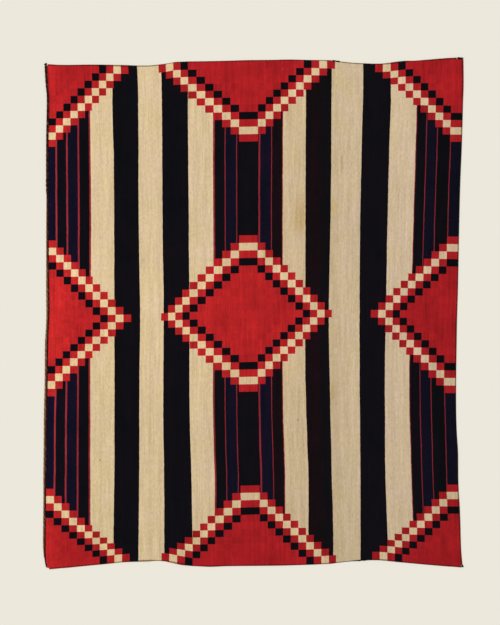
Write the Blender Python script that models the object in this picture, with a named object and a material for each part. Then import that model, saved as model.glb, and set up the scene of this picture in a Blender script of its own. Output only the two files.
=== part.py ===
"""Third-phase chief blanket in wool, lying flat: one tapestry-woven cloth, the cords that bind its edges, its
corner knots and one loose cord end.

X runs along the warp and Y along the weft, so the woven stripes run along Y. Z is up, the underside lies at
Z = 0, and the origin is under the middle of the blanket. Lengths here are in millimetres and are turned into
metres as the meshes are made.
"""

import math

import bmesh
import bpy

MM = 0.001

# Driving sizes
CLOTH_THICKNESS = 2.5
RIM_THICKNESS = 1.7
RIM_WIDTH = 7.0
THICKNESS_WAVE = 0.15
GAP = 0.3
CLOTH_COLUMNS = 40
CLOTH_ROWS = 36
FAN_ROWS = 6

# Cords are lobed tubes. A two-ply twist shows one bump for each ply that comes round.
CORD_SIDES = 6
PLY_BUMP = 17.0
STEPS_PER_BUMP = 3
LOBE_DEPTH = 0.14
TAIL_STEP = 3.0
BEAD_REACH = 5.0
BEAD_STEPS = (-8.0, -5.0, -2.5, 0.0, 2.5, 5.0, 8.0)

# Outline of the woven cloth. Columns: y, x of the edge.
LEFT_EDGE = (
    (-881, -711),
    (-853, -716),
    (-819, -717.5),
    (-750, -717),
    (-426, -714),
    (-288, -711.5),
    (-184, -710),
    (-81, -708),
    (9, -704.5),
    (92, -705.5),
    (300, -707.5),
    (471, -708.5),
    (609, -708),
    (747, -706),
    (782, -709),
    (816, -711),
    (855, -712.5),
)
RIGHT_EDGE = (
    (-876, 717),
    (-853, 716.5),
    (-802, 713),
    (-736, 710.5),
    (-577, 704),
    (-460, 701.5),
    (-357, 698),
    (-232, 696.5),
    (-60, 698),
    (9, 700.5),
    (92, 703),
    (299, 707),
    (388, 709),
    (471, 711.5),
    (540, 714.5),
    (609, 717),
    (713, 720),
    (782, 721.5),
    (873, 720.5),
)
# Columns: x, y of the edge.
TOP_EDGE = (
    (-717, 856),
    (-667, 853.5),
    (-563, 854),
    (-373, 851),
    (-322, 854),
    (-280, 862.5),
    (-253, 865),
    (-184, 866.5),
    (23, 870.5),
    (127, 872),
    (272, 869.5),
    (313, 863),
    (355, 860),
    (403, 858),
    (444, 858.5),
    (486, 864),
    (534, 869),
    (589, 871),
    (690, 878.5),
    (718, 874.5),
)
BOTTOM_EDGE = (
    (-709, -880),
    (-667, -877.5),
    (-612, -872.5),
    (-529, -865),
    (-418, -855),
    (-335, -852),
    (-301, -854.5),
    (-266, -862),
    (-225, -870),
    (-184, -871.5),
    (23, -869),
    (127, -867.5),
    (217, -864.5),
    (279, -860),
    (354, -853),
    (403, -849),
    (437, -849.5),
    (520, -858),
    (630, -868.5),
    (718, -874.5),
)

# Radius of each cord. Columns: place along its edge, radius.
SIDE_CORD_RADIUS = ((0, 1.2),)
RIGHT_CORD_RADIUS = ((0, 1.4),)
TAIL_RADIUS = (
    (271, 1.2),
    (277, 1.9),
    (292, 1.8),
    (300, 0.9),
)
DARK_CORD_RADIUS = (
    (-878, 1.8),
    (-850, 2.1),
    (250, 2.3),
    (405, 2.0),
    (432, 3.3),
    (740, 3.4),
    (852, 4.1),
)
TAN_CORD_RADIUS = (
    (-845, 1.0),
    (-790, 2.3),
    (90, 2.3),
    (300, 1.6),
    (428, 0.9),
)

# Small beads on a cord. Columns: place along the cord, how far it swells out.
DARK_CORD_BEADS = ((441, 1.1), (455, 1.1))
BOTTOM_CORD_BEADS = ((365, 1.0), (383, 0.9))
NO_BEADS = ()

# Where each straight-running cord starts and ends along its edge
TOP_LEFT_RUN = (-708.0, 269.0)
TOP_TAIL_RUN = (271.0, 300.0)
TOP_RIGHT_RUN = (302.0, 702.0)
BOTTOM_RUN = (-703.0, 716.0)
RIGHT_RUN = (-869.5, 872.0)

# Corner knots. Columns: name, x, y, half sizes along x, y and z.
KNOTS = (
    ("corner_knot_top_left", -717.5, 859.5, 4.2, 4.9, 3.4),
    ("corner_knot_top_right", 713.8, 879.8, 10.5, 2.8, 2.6),
    ("corner_knot_bottom_right", 721.2, -874.0, 3.4, 3.9, 3.0),
)
KNOT_AROUND = 12
KNOT_DOWN = 8
KNOT_LOBE = 0.1

# Finishes. Columns: red, green, blue, roughness.
WOVEN_WOOL = (0.52, 0.05, 0.05, 0.95)
DARK_WOOL = (0.03, 0.015, 0.012, 0.9)
TAN_WOOL = (0.2, 0.12, 0.05, 0.9)
RED_WOOL = (0.17, 0.02, 0.02, 0.9)


def smooth_through(stations, place):
    """Value at a place on the smooth curve through the stations, held level past both ends."""
    first, last = stations[0], stations[-1]
    if place <= first[0]:
        return first[1]
    if place >= last[0]:
        return last[1]
    i = max(k for k, station in enumerate(stations) if station[0] <= place)
    near = [stations[max(i - 1, 0)], stations[i], stations[i + 1], stations[min(i + 2, len(stations) - 1)]]
    (p0, v0), (p1, v1), (p2, v2), (p3, v3) = near
    run = p2 - p1
    t = (place - p1) / run
    slope_in = (v2 - v0) / (p2 - p0) * run
    slope_out = (v3 - v1) / (p3 - p1) * run
    rise = t * t * (3 - 2 * t)
    return v1 + (v2 - v1) * rise + slope_in * t * (1 - t) ** 2 - slope_out * t * t * (1 - t)


def between(low, high, share):
    return low + (high - low) * share


def cloth_point(across, up):
    """Plan of the cloth: across runs 0 to 1 from left to right, and up runs 0 to 1 from bottom to top."""
    x = between(TOP_EDGE[0][0], TOP_EDGE[-1][0], across)
    y = between(smooth_through(BOTTOM_EDGE, x), smooth_through(TOP_EDGE, x), up)
    return between(smooth_through(LEFT_EDGE, y), smooth_through(RIGHT_EDGE, y), across), y


def cloth_height(x, y):
    """Top of the cloth: hand-beaten weft packs a little thicker and thinner over a few hand widths."""
    wave = math.sin(x / 83 + 1.3 * math.sin(y / 190)) + math.sin(y / 67 + 1.1 * math.sin(x / 150))
    return CLOTH_THICKNESS + THICKNESS_WAVE * wave / 2


def spaced_with_rims(count, rim_share):
    """Shares from 0 to 1 in even steps, with one more step for the rim at each end."""
    inner = [between(rim_share, 1 - rim_share, i / count) for i in range(count + 1)]
    return [0.0, *inner, 1.0]


def add_object(name, mesh, colour):
    material = bpy.data.materials.new(name + "_wool")
    material.use_nodes = True
    shader = material.node_tree.nodes["Principled BSDF"]
    shader.inputs["Base Color"].default_value = (*colour[:3], 1.0)
    shader.inputs["Roughness"].default_value = colour[3]
    shader.inputs["Metallic"].default_value = 0.0
    mesh.materials.append(material)
    bpy.context.scene.collection.objects.link(bpy.data.objects.new(name, mesh))


def close_mesh(name, bm):
    """Turns a closed bmesh in millimetres into a mesh in metres with its faces pointing out."""
    bmesh.ops.recalc_face_normals(bm, faces=bm.faces)
    bmesh.ops.scale(bm, vec=(MM, MM, MM), verts=bm.verts)
    mesh = bpy.data.meshes.new(name)
    bm.to_mesh(mesh)
    bm.free()
    return mesh


def cloth_plan():
    """Plan of every grid point of the cloth, as {(column, row): (x, y)}, and the last column and row."""
    width = TOP_EDGE[-1][0] - TOP_EDGE[0][0]
    height = LEFT_EDGE[-1][0] - LEFT_EDGE[0][0]
    columns = spaced_with_rims(CLOTH_COLUMNS, RIM_WIDTH / width)
    rows = spaced_with_rims(CLOTH_ROWS, RIM_WIDTH / height)
    plan = {(i, j): cloth_point(across, up) for i, across in enumerate(columns) for j, up in enumerate(rows)}
    return plan, len(columns) - 1, len(rows) - 1


def rim_lines(plan, last_column, last_row):
    """The cloth's four edges, each a line of (place along, distance across) that a cord can follow."""
    return {
        "left": [plan[0, j][::-1] for j in range(last_row + 1)],
        "right": [plan[last_column, j][::-1] for j in range(last_row + 1)],
        "bottom": [plan[i, 0] for i in range(last_column + 1)],
        "top": [plan[i, last_row] for i in range(last_column + 1)],
    }


def line_at(line, place):
    """Distance across at a place on a rim line, which carries on straight past its ends."""
    i = max([k for k, point in enumerate(line[:-1]) if point[0] <= place] or [0])
    (p0, v0), (p1, v1) = line[i], line[i + 1]
    return between(v0, v1, (place - p0) / (p1 - p0))


def make_cloth(plan, last_column, last_row):
    """The woven cloth: a gently uneven top on a grid, and a flat underside.

    The underside runs in strips from left to right. A fan of triangles joins them to each wavy end.
    """
    bm = bmesh.new()
    top, foot = {}, {}
    for (i, j), (x, y) in plan.items():
        on_rim = i in (0, last_column) or j in (0, last_row)
        top[i, j] = bm.verts.new((x, y, RIM_THICKNESS if on_rim else cloth_height(x, y)))
        if on_rim:
            foot[i, j] = bm.verts.new((x, y, 0))

    for i in range(last_column):
        for j in range(last_row):
            bm.faces.new((top[i, j], top[i + 1, j], top[i + 1, j + 1], top[i, j + 1]))

    rim = [(i, 0) for i in range(last_column)]
    rim += [(last_column, j) for j in range(last_row)]
    rim += [(i, last_row) for i in range(last_column, 0, -1)]
    rim += [(0, j) for j in range(last_row, 0, -1)]
    for here, after in zip(rim, rim[1:] + rim[:1]):
        bm.faces.new((foot[here], foot[after], top[after], top[here]))

    for j in range(FAN_ROWS, last_row - FAN_ROWS):
        bm.faces.new((foot[0, j], foot[0, j + 1], foot[last_column, j + 1], foot[last_column, j]))
    for edge_row, inward in ((0, 1), (last_row, -1)):
        side_rows = [edge_row + inward * k for k in range(FAN_ROWS, 0, -1)]
        ring = [foot[0, j] for j in side_rows]
        ring += [foot[i, edge_row] for i in range(last_column + 1)]
        ring += [foot[last_column, j] for j in reversed(side_rows)]
        fan_middle = bm.verts.new((*plan[last_column // 2, edge_row + inward * (FAN_ROWS // 2)], 0))
        for here, after in zip(ring, ring[1:] + ring[:1]):
            bm.faces.new((fan_middle, here, after))
    add_object("blanket_cloth", close_mesh("blanket_cloth", bm), WOVEN_WOOL)


def bead_swell(beads, place):
    return sum(size * math.exp(-(((place - at) / BEAD_REACH) ** 2)) for at, size in beads)


def even_places(run, step):
    count = round((run[1] - run[0]) / step)
    return [between(run[0], run[1], k / count) for k in range(count + 1)]


def rim_places(run, line, beads):
    """Both ends of the run, every bend of the rim between them, and enough places to round each bead."""
    places = [place for place, _ in line]
    places += [at + step for at, _ in beads for step in BEAD_STEPS]
    return [run[0], *sorted(place for place in places if run[0] < place < run[1]), run[1]]


def make_cord(name, places, middle_at, radius_at, point, colour, outward, beads=NO_BEADS, twist=0.0):
    """A cord laid along an edge. Its rings stand square to that edge, and it rests on Z = 0.

    middle_at and radius_at give the cord's middle and radius at a place along the edge. point turns a place,
    a distance across and a height into X, Y and Z. outward is +1 or -1, the side that beads swell towards.
    """
    bm = bmesh.new()
    rings = []
    for place in places:
        swell = bead_swell(beads, place)
        radius = radius_at(place) + swell / 2
        middle = middle_at(place) + outward * swell / 2
        lift = radius * math.sin(math.tau / CORD_SIDES)
        ring = []
        for side in range(CORD_SIDES):
            angle = math.tau * side / CORD_SIDES
            turned = 2 * angle - math.tau * place / PLY_BUMP
            reach = radius * (1 - twist + twist * math.cos(turned))
            across = middle + reach * math.cos(angle)
            ring.append(bm.verts.new(point(place, across, lift + reach * math.sin(angle))))
        rings.append(ring)
    for ring, after in zip(rings, rings[1:]):
        for side in range(CORD_SIDES):
            nearby = (side + 1) % CORD_SIDES
            bm.faces.new((ring[side], ring[nearby], after[nearby], after[side]))
    bm.faces.new(rings[0])
    bm.faces.new(rings[-1])
    add_object(name, close_mesh(name, bm), colour)


def along_y(place, across, up):
    return across, place, up


def along_x(place, across, up):
    return place, across, up


def make_left_cords(line):
    """Two cords side by side: the dark one against the cloth, the golden brown one outside it."""

    def dark_radius(y):
        return smooth_through(DARK_CORD_RADIUS, y)

    def tan_radius(y):
        return smooth_through(TAN_CORD_RADIUS, y)

    def dark_middle(y):
        return line_at(line, y) - GAP - dark_radius(y)

    def tan_middle(y):
        return dark_middle(y) - dark_radius(y) - GAP - tan_radius(y)

    cords = (
        ("end_cord_dark", DARK_CORD_RADIUS, dark_middle, dark_radius, DARK_WOOL, DARK_CORD_BEADS),
        ("end_cord_tan", TAN_CORD_RADIUS, tan_middle, tan_radius, TAN_WOOL, NO_BEADS),
    )
    for name, stations, middle_at, radius_at, colour, beads in cords:
        places = even_places((stations[0][0], stations[-1][0]), PLY_BUMP / STEPS_PER_BUMP)
        make_cord(name, places, middle_at, radius_at, along_y, colour, -1, beads, LOBE_DEPTH)


def make_edge_cord(name, places, line, radii, point, colour, outward, beads=NO_BEADS):
    """A cord that lies along one edge of the cloth, just outside it."""

    def radius_at(place):
        return smooth_through(radii, place)

    def middle_at(place):
        return line_at(line, place) + outward * (GAP + radius_at(place))

    make_cord(name, places, middle_at, radius_at, point, colour, outward, beads)


def make_thin_cords(lines):
    top, bottom, right = lines["top"], lines["bottom"], lines["right"]
    for name, run in (("side_cord_top_left", TOP_LEFT_RUN), ("side_cord_top_right", TOP_RIGHT_RUN)):
        make_edge_cord(name, rim_places(run, top, NO_BEADS), top, SIDE_CORD_RADIUS, along_x, DARK_WOOL, 1)

    places = even_places(TOP_TAIL_RUN, TAIL_STEP)
    make_edge_cord("cord_tail_top", places, top, TAIL_RADIUS, along_x, DARK_WOOL, 1)

    beads = BOTTOM_CORD_BEADS
    places = rim_places(BOTTOM_RUN, bottom, beads)
    make_edge_cord("side_cord_bottom", places, bottom, SIDE_CORD_RADIUS, along_x, DARK_WOOL, -1, beads)

    places = rim_places(RIGHT_RUN, right, NO_BEADS)
    make_edge_cord("end_cord_right", places, right, RIGHT_CORD_RADIUS, along_y, RED_WOOL, 1)


def make_knot(name, x, y, half_x, half_y, half_z):
    """A small hard knot: a rounded lump with three turns of cord showing as low lobes."""
    bm = bmesh.new()
    bmesh.ops.create_uvsphere(bm, u_segments=KNOT_AROUND, v_segments=KNOT_DOWN, radius=1)
    for vert in bm.verts:
        around = math.atan2(vert.co.y, vert.co.x)
        lobe = 1 - KNOT_LOBE + KNOT_LOBE * math.cos(3 * around + 2 * vert.co.z)
        vert.co.x = x + vert.co.x * half_x * lobe
        vert.co.y = y + vert.co.y * half_y * lobe
        vert.co.z = half_z * (1 + vert.co.z)
    add_object(name, close_mesh(name, bm), DARK_WOOL)


def main():
    for obj in list(bpy.data.objects):
        bpy.data.objects.remove(obj, do_unlink=True)
    plan, last_column, last_row = cloth_plan()
    lines = rim_lines(plan, last_column, last_row)
    make_cloth(plan, last_column, last_row)
    make_left_cords(lines["left"])
    make_thin_cords(lines)
    for knot in KNOTS:
        make_knot(*knot)


main()
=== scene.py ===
# %% [markdown]
# # A chief blanket, woven again
#
# This lesson dresses a wool blanket that lies flat on a pale floor. The imported model gives us its
# true size: one thin cloth, the cords round its four edges and the knots at three corners. It has no
# weave, no stripes and no twist yet. We load it first. What we add may pass it by a millimetre or
# two at most.

# %% Load the imported model
import math

import bmesh
import bpy
import numpy as np
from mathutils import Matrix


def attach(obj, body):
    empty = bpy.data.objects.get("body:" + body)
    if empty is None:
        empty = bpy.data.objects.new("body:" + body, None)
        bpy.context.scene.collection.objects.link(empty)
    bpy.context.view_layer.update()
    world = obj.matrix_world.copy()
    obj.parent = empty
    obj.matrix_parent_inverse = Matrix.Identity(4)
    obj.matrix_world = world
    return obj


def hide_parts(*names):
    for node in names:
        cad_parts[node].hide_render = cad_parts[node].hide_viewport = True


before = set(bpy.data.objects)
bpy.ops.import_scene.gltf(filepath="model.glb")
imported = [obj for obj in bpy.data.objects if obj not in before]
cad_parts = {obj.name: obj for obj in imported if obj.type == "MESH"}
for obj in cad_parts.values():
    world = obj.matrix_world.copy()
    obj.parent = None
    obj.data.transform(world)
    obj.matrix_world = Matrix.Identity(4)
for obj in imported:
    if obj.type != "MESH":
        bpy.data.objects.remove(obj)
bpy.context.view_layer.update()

MM = 0.001

# %% [markdown]
# ## The camera
#
# The blanket is shown face on, so the camera looks straight down. A long lens far away keeps the
# cloth free of perspective. We know how much floor the picture takes in, so the height of the camera
# follows from the lens: half the view's height over half the sensor is the distance over the focal
# length.

# %% Look straight down
VIEW_CENTRE = (-11.9, 2.1)
VIEW_HEIGHT = 2156.0
CLOTH_TOP = 2.3
LENS = 85.0
SENSOR = 36.0

view_data = bpy.data.cameras.new("overhead_view")
view_data.lens = LENS
view_data.sensor_width = SENSOR
camera = bpy.data.objects.new("overhead_view", view_data)
bpy.context.scene.collection.objects.link(camera)
camera_height = (VIEW_HEIGHT * LENS / SENSOR + CLOTH_TOP) * MM
camera.location = (VIEW_CENTRE[0] * MM, VIEW_CENTRE[1] * MM, camera_height)
bpy.context.scene.camera = camera
print("camera", round(camera_height, 2), "m above the floor")

# %% [markdown]
# ## Floor and light
#
# A plain pale floor and a plain soft light let the dyes speak for themselves. An even sky does about
# three quarters of the work. A wide sun from the upper left does the rest, low enough to graze the ribs of the
# weave. Both are even over the whole cloth, so its colours can be set from what is seen. The standard
# view transform shows them without a film curve. The floor is lit from within a little, like a light
# table, which keeps the shadow round the edge of the cloth faint.

# %% A pale floor under a soft sky
FLOOR_COLOUR = (0.838, 0.807, 0.716)
FLOOR_WIDTH = 60.0
FLOOR_GLOW = 0.6
SKY_SHARE = 0.78
SUN_TILT = 42.0
SUN_TURN = 135.0
SUN_ANGLE = 14.0


def add_node(tree, kind, inputs=None, **settings):
    """Adds a shader node. inputs gives a value, or a socket to link, for each input by name or place."""
    node = tree.nodes.new("ShaderNode" + kind)
    for name, value in settings.items():
        setattr(node, name, value)
    for key, value in (inputs or {}).items():
        if isinstance(value, bpy.types.NodeSocket):
            tree.links.new(value, node.inputs[key])
        else:
            node.inputs[key].default_value = value
    return node


def new_material(name, **shader_values):
    """A material with one Principled shader, whose even values are set on its own sockets."""
    material = bpy.data.materials.new(name)
    material.use_nodes = True
    shader = material.node_tree.nodes["Principled BSDF"]
    for key, value in shader_values.items():
        shader.inputs[key.replace("_", " ")].default_value = value
    return material, material.node_tree, shader


bpy.ops.object.select_all(action="DESELECT")
bpy.ops.mesh.primitive_plane_add(size=FLOOR_WIDTH)
floor = bpy.context.active_object
floor.name = "floor"
floor_finish, _, floor_shader = new_material("pale_floor", Roughness=1.0)
floor_shader.inputs["Base Color"].default_value = (*[c * (1 - FLOOR_GLOW) for c in FLOOR_COLOUR], 1.0)
floor_shader.inputs["Emission Color"].default_value = (*FLOOR_COLOUR, 1.0)
floor_shader.inputs["Emission Strength"].default_value = FLOOR_GLOW
floor_shader.inputs["Specular IOR Level"].default_value = 0.0
floor.data.materials.append(floor_finish)
floor.select_set(False)

world = bpy.data.worlds.new("soft_sky")
world.use_nodes = True
sky = world.node_tree.nodes["Background"]
sky.inputs["Color"].default_value = (1.0, 1.0, 1.0, 1.0)
sky.inputs["Strength"].default_value = SKY_SHARE
bpy.context.scene.world = world

sun_data = bpy.data.lights.new("window_light", "SUN")
sun_data.energy = math.pi * (1 - SKY_SHARE) / math.cos(math.radians(SUN_TILT))
sun_data.angle = math.radians(SUN_ANGLE)
sun = bpy.data.objects.new("window_light", sun_data)
sun.rotation_euler = (0.0, math.radians(SUN_TILT), math.radians(SUN_TURN))
bpy.context.scene.collection.objects.link(sun)
bpy.context.scene.view_settings.view_transform = "Standard"
print("sun strength", round(sun_data.energy, 2), "under a sky of", SKY_SHARE)

# %% [markdown]
# ## The outline of the cloth
#
# No hand-woven blanket is a true rectangle. The white stripes pull in, the blocks of pattern push
# out, and the end cords wander. These are the same four edges as the solid's, as a few stations that
# a smooth curve joins. Each table gives the place along the edge and where the edge lies, in
# millimetres.

# %% Four uneven edges
LEFT_EDGE = (
    (-881, -711), (-853, -716), (-819, -717.5), (-750, -717), (-426, -714), (-288, -711.5),
    (-184, -710), (-81, -708), (9, -704.5), (92, -705.5), (300, -707.5), (471, -708.5),
    (609, -708), (747, -706), (782, -709), (816, -711), (855, -712.5),
)
RIGHT_EDGE = (
    (-876, 717), (-853, 716.5), (-802, 713), (-736, 710.5), (-577, 704), (-460, 701.5),
    (-357, 698), (-232, 696.5), (-60, 698), (9, 700.5), (92, 703), (299, 707),
    (388, 709), (471, 711.5), (540, 714.5), (609, 717), (713, 720), (782, 721.5),
    (873, 720.5),
)
TOP_EDGE = (
    (-717, 856), (-667, 853.5), (-563, 854), (-373, 851), (-322, 854), (-280, 862.5),
    (-253, 865), (-184, 866.5), (23, 870.5), (127, 872), (272, 869.5), (313, 863),
    (355, 860), (403, 858), (444, 858.5), (486, 864), (534, 869), (589, 871),
    (690, 878.5), (718, 874.5),
)
BOTTOM_EDGE = (
    (-709, -880), (-667, -877.5), (-612, -872.5), (-529, -865), (-418, -855), (-335, -852),
    (-301, -854.5), (-266, -862), (-225, -870), (-184, -871.5), (23, -869), (127, -867.5),
    (217, -864.5), (279, -860), (354, -853), (403, -849), (437, -849.5), (520, -858),
    (630, -868.5), (718, -874.5),
)


def smooth_through(stations, places):
    """Values at some places on the smooth curve through the stations, held level past both ends."""
    at, value = np.array(stations, float).T
    places = np.clip(np.asarray(places, float), at[0], at[-1])
    last = len(at) - 1
    i = np.clip(np.searchsorted(at, places, side="right") - 1, 0, last - 1)
    before, after, beyond = np.maximum(i - 1, 0), i + 1, np.minimum(i + 2, last)
    run = at[after] - at[i]
    t = (places - at[i]) / run
    slope_in = (value[after] - value[before]) / (at[after] - at[before]) * run
    slope_out = (value[beyond] - value[i]) / (at[beyond] - at[i]) * run
    rise = t * t * (3 - 2 * t)
    bend = slope_in * t * (1 - t) ** 2 - slope_out * t * t * (1 - t)
    return value[i] + (value[after] - value[i]) * rise + bend


print("the top edge dips to", smooth_through(TOP_EDGE, [-373])[0], "mm over the white stripes")

# %% [markdown]
# ## The loom
#
# On the loom everything was straight: the warps ran along X, and the wefts that make the stripes ran
# along Y. We give the cloth loom coordinates. One counts millimetres across the stripes. The other
# counts rows of blocks: a block is 8 warps high, and the blanket has 69 rows from edge to edge.
#
# Off the loom the cloth relaxed. So we note where a few wefts and a few rows of blocks lie now, and
# everything between them is carried along. The pattern can then be drawn straight and still lie with
# all the drift of the real cloth.

# %% How the wefts and the rows of blocks lie
BLOCK = 25.5
WARPS_IN_BLOCK = 8
HALF_ROWS = 34.5
BOTTOM_ROW = 25.5
TOP_ROW = 26.2
LOOM_LEFT, LOOM_RIGHT = -707.0, 707.5

# Each weft: its place on the loom, then stations of where it lies. Columns: y, x.
WEFTS = (
    (-563.2, ((-560, -565.6), (-200, -566.0), (320, -563.2), (734, -567.0))),
    (-481.8, ((-785, -484.5), (-474, -480.8), (302, -481.8), (526, -482.8), (630, -486.2), (733, -488.3))),
    (-396.6, (
        (-850, -397.6), (-560, -395.2), (-198, -393.8), (-8, -391.4),
        (302, -396.6), (733, -398.5), (840, -402.0),
    )),
    (-224.8, ((-768, -212.3), (-560, -215.8), (-336, -222.0), (-8, -222.5), (302, -224.8), (768, -228.6))),
    (-136.5, ((-560, -132.5), (-440, -136.0), (-267, -138.3), (302, -136.9), (526, -138.2))),
    (-18.1, ((-560, -12.2), (-440, -16.4), (-336, -18.1), (423, -18.8), (734, -17.4))),
    (179.9, ((-715, 190.2), (-560, 189.6), (-440, 185.8), (-198, 179.2), (302, 179.9), (734, 181.3))),
    (264.1, ((-768, 274.3), (-560, 268.9), (-198, 261.3), (-8, 258.0), (302, 264.1), (850, 268.8))),
    (367.6, ((-768, 368.9), (-440, 367.9), (-198, 365.5), (302, 367.6), (734, 377.0), (850, 378.3))),
    (459.4, (
        (-785, 460.8), (-647, 455.2), (-560, 452.3), (-198, 450.9),
        (-8, 454.5), (302, 459.4), (578, 465.9), (733, 471.8),
    )),
    (550.8, ((-715, 549.4), (-440, 540.5), (-198, 537.0), (302, 550.8), (543, 557.8), (734, 563.2))),
)

# Heights of ten rows of blocks at five places across the cloth. Columns: row, then y at each place.
ROW_PLACES = (-690, -430, -190, 165, 690)
ROWS = (
    (-28.5, (-732.1, -730.4, -726.2, -715.5, -716.9)),
    (-23.5, (-606.2, -603.4, -598.2, -592.0, -591.7)),
    (-10.5, (-287.0, -282.6, -275.0, -269.1, -276.0)),
    (-5.5, (-156.6, -154.2, -147.3, -140.1, -145.6)),
    (-0.5, (-33.1, -30.4, -21.7, -14.8, -17.3)),
    (0.5, (-7.6, -4.8, 4.8, 11.4, 9.3)),
    (5.5, (124.9, 128.0, 133.9, 140.8, 134.6)),
    (10.5, (250.5, 255.3, 265.0, 269.8, 263.9)),
    (23.5, (573.7, 578.2, 587.9, 594.1, 591.0)),
    (28.5, (696.2, 701.4, 715.5, 721.7, 715.5)),
)


def across_at(loom, y):
    """X of one weft, given by its place on the loom, at heights y."""
    places = [LOOM_LEFT, *[weft[0] for weft in WEFTS], LOOM_RIGHT]
    curves = [LEFT_EDGE, *[weft[1] for weft in WEFTS], RIGHT_EDGE]
    k = min(max(sum(place <= loom for place in places) - 1, 0), len(places) - 2)
    share = (loom - places[k]) / (places[k + 1] - places[k])
    low, high = smooth_through(curves[k], y), smooth_through(curves[k + 1], y)
    return low + (high - low) * share


def heights_at(rows, x):
    """Y of the given rows of blocks on a line that crosses the cloth at x."""
    middles = [smooth_through(tuple(zip(ROW_PLACES, heights)), [x])[0] for _, heights in ROWS]
    low, high = smooth_through(BOTTOM_EDGE, [x])[0], smooth_through(TOP_EDGE, [x])[0]
    known_rows = [-HALF_ROWS, 1 - HALF_ROWS, *[row for row, _ in ROWS], HALF_ROWS - 1, HALF_ROWS]
    return np.interp(rows, known_rows, [low, low + BOTTOM_ROW, *middles, high - TOP_ROW, high])


def column_on_cloth(loom, rows):
    """Plan of one weft's points: X and Y at each of the given rows of blocks."""
    x = loom
    for _ in range(3):
        y = heights_at(rows, x)
        x = float(np.mean(across_at(loom, y)))
    return across_at(loom, y), y


print("the middle of the cloth lies at", [round(float(a[0]), 1) for a in column_on_cloth(0.0, [0.0])], "mm")

# %% [markdown]
# ## The woven sheet
#
# This weave hides its warps: the wefts are beaten down until they cover them, and each warp shows as
# a low rib. About 550 of them cross the blanket. A bump map would do from afar, but the ribs catch
# the light at a low angle and belong in the mesh. So the sheet gets one valley and one crest for each
# warp, on both faces, and few columns the other way, where nothing turns quickly. Both faces meet in
# one shared edge, so the sheet is closed.
#
# Hand-beaten ribs are not alike: each has its own height, and the whole cloth cockles a little. The
# dice are seeded, so the cloth comes out the same each time.

# %% Weave the sheet
SHEET_THICKNESS = 2.5
RIB_DEPTH = 0.5
RIB_UNEVEN = 0.12
COCKLE = 0.28
FOOT_SHARE = 0.6
MOST_DRIFT = 0.5
EDGE_HEIGHT = 0.85
EDGE_SLOPE = 0.6
EDGE_STEPS = (1.3, 5.0)
COLUMNS_BETWEEN_WEFTS = (4, 2, 3, 4, 3, 4, 5, 3, 3, 3, 2, 3)
dice = np.random.default_rng(1880)


def loom_columns():
    """Loom places of the sheet's columns: close together at both edges, and on each known weft."""
    places = [LOOM_LEFT, *[weft[0] for weft in WEFTS], LOOM_RIGHT]
    columns = [LOOM_LEFT + step for step in EDGE_STEPS] + [LOOM_RIGHT - step for step in EDGE_STEPS]
    for low, high, count in zip(places, places[1:], COLUMNS_BETWEEN_WEFTS):
        columns += [low + (high - low) * k / count for k in range(count)]
    return np.array(sorted([*columns, LOOM_RIGHT]))


def cockle_at(x, y):
    """Slow rise and fall of the face, where the beating was tighter or looser."""
    slow = np.sin(x / 83 + 1.3 * np.sin(y / 190)) + np.sin(y / 67 + 1.1 * np.sin(x / 150))
    return COCKLE * (slow + 0.7 * np.sin(x / 31 + y / 47))


columns = loom_columns()
rib_count = int(2 * HALF_ROWS * WARPS_IN_BLOCK)
loom_rows = np.linspace(-HALF_ROWS, HALF_ROWS, 2 * rib_count + 1)
plan = np.array([np.stack(column_on_cloth(loom, loom_rows), 1) for loom in columns])
x, y = plan[..., 0], plan[..., 1]

is_crest = (np.arange(len(loom_rows)) % 2).astype(float)
rib_height = np.repeat(dice.normal(0.0, RIB_UNEVEN, rib_count + 1), 2)[: len(loom_rows)]
drift = np.cumsum(dice.normal(0.0, RIB_UNEVEN / 6, x.shape), 0)
crest = is_crest * (1 + (rib_height + drift).clip(-MOST_DRIFT, MOST_DRIFT))
top = SHEET_THICKNESS - RIB_DEPTH + RIB_DEPTH * crest + cockle_at(x, y)
foot = RIB_DEPTH * FOOT_SHARE * (1 - crest.clip(0, 1))
print(len(columns), "columns by", len(loom_rows), "rows,", rib_count, "ribs")

# %% Join both faces along a shared edge
edge_mask = np.zeros(x.shape, bool)
edge_mask[[0, -1], :] = True
edge_mask[:, [0, -1]] = True
near_edge = np.zeros(x.shape, bool)
near_edge[[1, -2], :] = True
top[near_edge] = np.minimum(top[near_edge], SHEET_THICKNESS - EDGE_SLOPE)
top[edge_mask] = EDGE_HEIGHT

top_points = np.stack([x, y, top], -1).reshape(-1, 3)
foot_points = np.stack([x, y, foot], -1)[~edge_mask]
top_index = np.arange(x.size).reshape(x.shape)
foot_index = top_index.copy()
foot_index[~edge_mask] = x.size + np.arange(len(foot_points))


def quads(index, outward):
    """Faces of a grid of points, turned to look outward."""
    corners = [index[:-1, :-1], index[1:, :-1], index[1:, 1:], index[:-1, 1:]]
    return np.stack(corners[::outward], -1).reshape(-1, 4)


faces = np.concatenate([quads(top_index, 1), quads(foot_index, -1)])
sheet_mesh = bpy.data.meshes.new("woven_sheet")
sheet_mesh.from_pydata((np.concatenate([top_points, foot_points]) * MM).tolist(), [], faces.tolist())
woven_sheet = bpy.data.objects.new("woven_sheet", sheet_mesh)
bpy.context.scene.collection.objects.link(woven_sheet)
sheet_mesh.shade_smooth()
print("the sheet has", 2 * len(faces), "triangles")

# %% [markdown]
# ## Two maps for the sheet
#
# The pattern is drawn in loom coordinates, so the sheet carries them in a map of its own, in metres:
# across the stripes, and along the rows of blocks. A second map lays the sheet out flat, as it is
# seen from above. Tapestry weave is alike on both faces, so the underside shares the face's place on
# both maps.

# %% Lay the maps
LOOM_MAP = "loom"
PLAN_MAP = "OFBake"


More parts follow.
